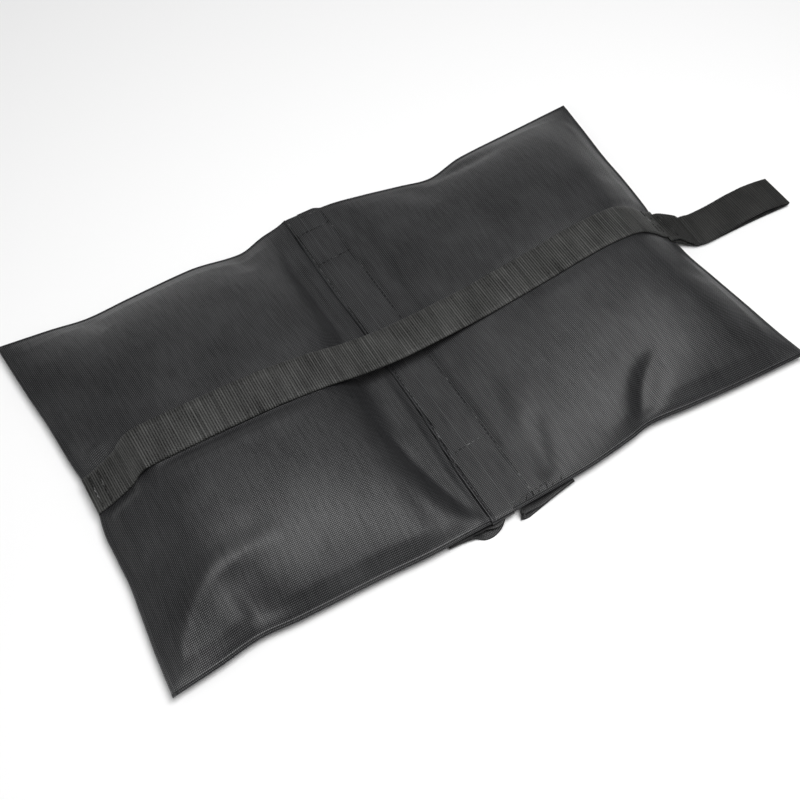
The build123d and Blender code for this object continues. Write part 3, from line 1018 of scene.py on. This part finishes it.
flap_front = {  # the flap's line at its front end, and further in
    LEFT: [
        (-10.6, 4.9), (-12.9, 3.8), (-17, 2.2), (-22, 1.5), (-26.5, 1.5), (-30, 2.1), (-34, 2.8), (-43, 3.4),
        (-52, 3.3),
    ],
    RIGHT: [
        (2.6, 5.2), (0.2, 3.7), (1.0, 1.9), (5, 1.3), (13, 1.6), (22, 2.2), (30, 2.9), (38, 3.3), (45.5, 3.3),
    ],
}
flap_inside = {
    LEFT: [
        (-13.8, 4.8), (-14.9, 3.1), (-17.8, 1.7), (-22, 1.3), (-28, 1.2), (-34, 1.2), (-40, 1.9), (-46, 2.8),
        (-51.5, 3.2),
    ],
    RIGHT: [
        (7.8, 4.8), (8.9, 3.1), (11.8, 1.7), (16, 1.3), (22, 1.2), (28, 1.2), (34, 1.9), (40, 2.8),
        (45.5, 3.2),
    ],
}
flap_slant = {  # how far the front end is set back, at each distance out from the fold line
    LEFT: [(6, 6.5), (12, 2.0), (20, 0.0), (24, 0.4), (31, 4.2), (40, 5.6), (50, 6.2)],
    RIGHT: [(3, 0.6), (8, 0.0), (14, 0.9), (31, 3.6), (48, 6.0)],
}
# The layers stand apart at the front end: how far out, how much shorter the upper one is, how far each moves
flap_mouth = {LEFT: (22.0, 5.5, 1.4), RIGHT: (8.0, 2.5, 1.1)}
mouth_width, mouth_depth = 8, 9
flap_front_y, flap_back_y = -157.2, 151.0
cloth_thick = 0.75
for side, side_name in SIDE_NAME.items():
    y_steps = np.concatenate([[0, 0.0015], np.linspace(0.01, 0.99, 70), [0.9985, 1.0]])
    mouth_out, set_back, opening = flap_mouth[side]
    flap_grid, flap_uv = [], []
    for step in y_steps:
        base_y = flap_front_y + step * (flap_back_y - flap_front_y)
        share = ramp(base_y, -156, -147)
        line = [
            tuple(np.array(a) * (1 - share) + np.array(b) * share)
            for a, b in zip(flap_front[side], flap_inside[side])
        ]
        dense = even_path([(x, 0, z) for x, z in line], count=26)[:, [0, 2]]
        path = doubled(dense, cloth_thick + 0.25)
        step_way = np.gradient(path, axis=0)
        normal = np.stack([-step_way[:, 1], step_way[:, 0]], -1)
        normal /= np.maximum(np.linalg.norm(normal, axis=1), 1e-6)[:, None]
        half = normal * cloth_thick / 2 * (0.6 if step in (0, 1.0) else 1.0)
        ring = np.concatenate([path + half, (path - half)[::-1]])
        out = np.abs(ring[:, 0] - fold_x)
        layer = np.concatenate([np.ones(len(dense)), [0.0], -np.ones(len(dense))])
        layer = np.concatenate([layer, layer[::-1]])
        slant = smooth(flap_slant[side], out) * (1 - step) ** 6 - 8.0 * ramp(out, 14, 40) * step**6
        mouth = np.exp(-((out - mouth_out) / mouth_width) ** 2)
        mouth *= np.exp(-(base_y - flap_front_y) / mouth_depth)
        slant += set_back * mouth * (layer > 0)
        ring[:, 1] += opening * mouth * layer
        ripple = 0.5 * np.sin(base_y / 23.0 + side) * ramp(out, 10, 20) * ramp(out, 48, 36)
        flap_grid.append(np.stack([ring[:, 0] + ripple, base_y + slant, np.maximum(ring[:, 1], 0.25)], -1))
        flap_uv.append(np.stack([run_along(ring), np.full(len(ring), base_y)], -1) * MM)
    flap = Build()
    numbers = flap.grid(np.array(flap_grid), np.array(flap_uv), closed=True)
    half_way = numbers.shape[1] // 2
    for row, flip in ((0, False), (-1, True)):
        flap.strip(numbers[row][:half_way], numbers[row][::-1][:half_way], flip)
    flap_piece = flap.done(f"closure_flap_{side_name}", flap_cloth)
    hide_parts(f"flap_{side_name}")
    world([fold_x + side * 7.5, 0, 0])
    world([fold_x + side * 12.5, 0, 0])
    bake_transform(flap_piece)

# ---- CAD pieces that keep their shape ----
finishes = {"zip_coil": nylon, "pouch_loop_tape": pile, "flap_hook_tape": hooks}
finishes |= dict.fromkeys(("saddle_webbing", "zip_tape"), tape_weave)
finishes |= dict.fromkeys(("zip_stops", "zip_slider", "zip_pull"), enamel)
for node, obj in frame["nodes"].items():
    kind = node.replace("_left", "").replace("_right", "")
    obj.data.materials.clear()
    obj.data.materials.append(finishes.get(kind, fabric))

# ---- camera, light and floor ----
camera_place = Vector(world([-254.3, -418.1, 677.2]))
azimuth, elevation, roll = radians(-31.28), radians(56.34), radians(0.56)
back = Vector((sin(azimuth) * cos(elevation), -cos(azimuth) * cos(elevation), sin(elevation)))
right = Vector((0, 0, 1)).cross(back).normalized()
up = back.cross(right)
rolled_right = right * cos(roll) + up * sin(roll)
rolled_up = up * cos(roll) - right * sin(roll)
camera = add_object("camera", bpy.data.cameras.new("camera"))
camera.data.lens = 51.608
camera.data.sensor_width = 36.0
camera.data.clip_start = 0.01
turned = Matrix((rolled_right, rolled_up, back)).transposed().to_4x4()
camera.matrix_world = Matrix.Translation(camera_place) @ turned
bpy.context.scene.camera = camera


def area_light(name, place, target, size, power):
    """A soft light. Its places and sizes are in metres."""
    lamp = bpy.data.lights.new(name, "AREA")
    lamp.shape = "RECTANGLE"
    lamp.size, lamp.size_y = size
    lamp.energy = power
    made = add_object(name, lamp)
    made.location = place
    made.rotation_euler = (Vector(target) - Vector(place)).to_track_quat("-Z", "Y").to_euler()


area_light("overhead", (0.12, -0.25, 1.25), (0, 0, 0), (1.0, 0.8), 17.5)
area_light("left_fill", (-1.3, -0.2, 0.7), (0, 0, 0), (0.8, 0.8), 3)
area_light("backdrop_glow", (0.2, 1.6, 0.45), (0, 0, 0.1), (3.0, 0.9), 6)
surroundings = bpy.data.worlds.new("studio")
surroundings.use_nodes = True
background = surroundings.node_tree.nodes["Background"]
background.inputs[0].default_value = (1.0, 1.0, 1.0, 1)
background.inputs[1].default_value = 0.18
bpy.context.scene.world = surroundings
bpy.context.scene.view_settings.view_transform = "Standard"

half_floor = 2.0
floor_mesh = bpy.data.meshes.new("floor")
corners = [(x * half_floor, y * half_floor, 0) for x, y in ((-1, -1), (1, -1), (1, 1), (-1, 1))]
floor_mesh.from_pydata(corners, [], [(0, 1, 2, 3)])
floor = add_object("floor", floor_mesh)
floor_paint = Shader("floor_paint", 0.9, 0.1)
floor_paint.set("Base Color", (0.92, 0.92, 0.92, 1))
floor_mesh.materials.append(floor_paint.material)
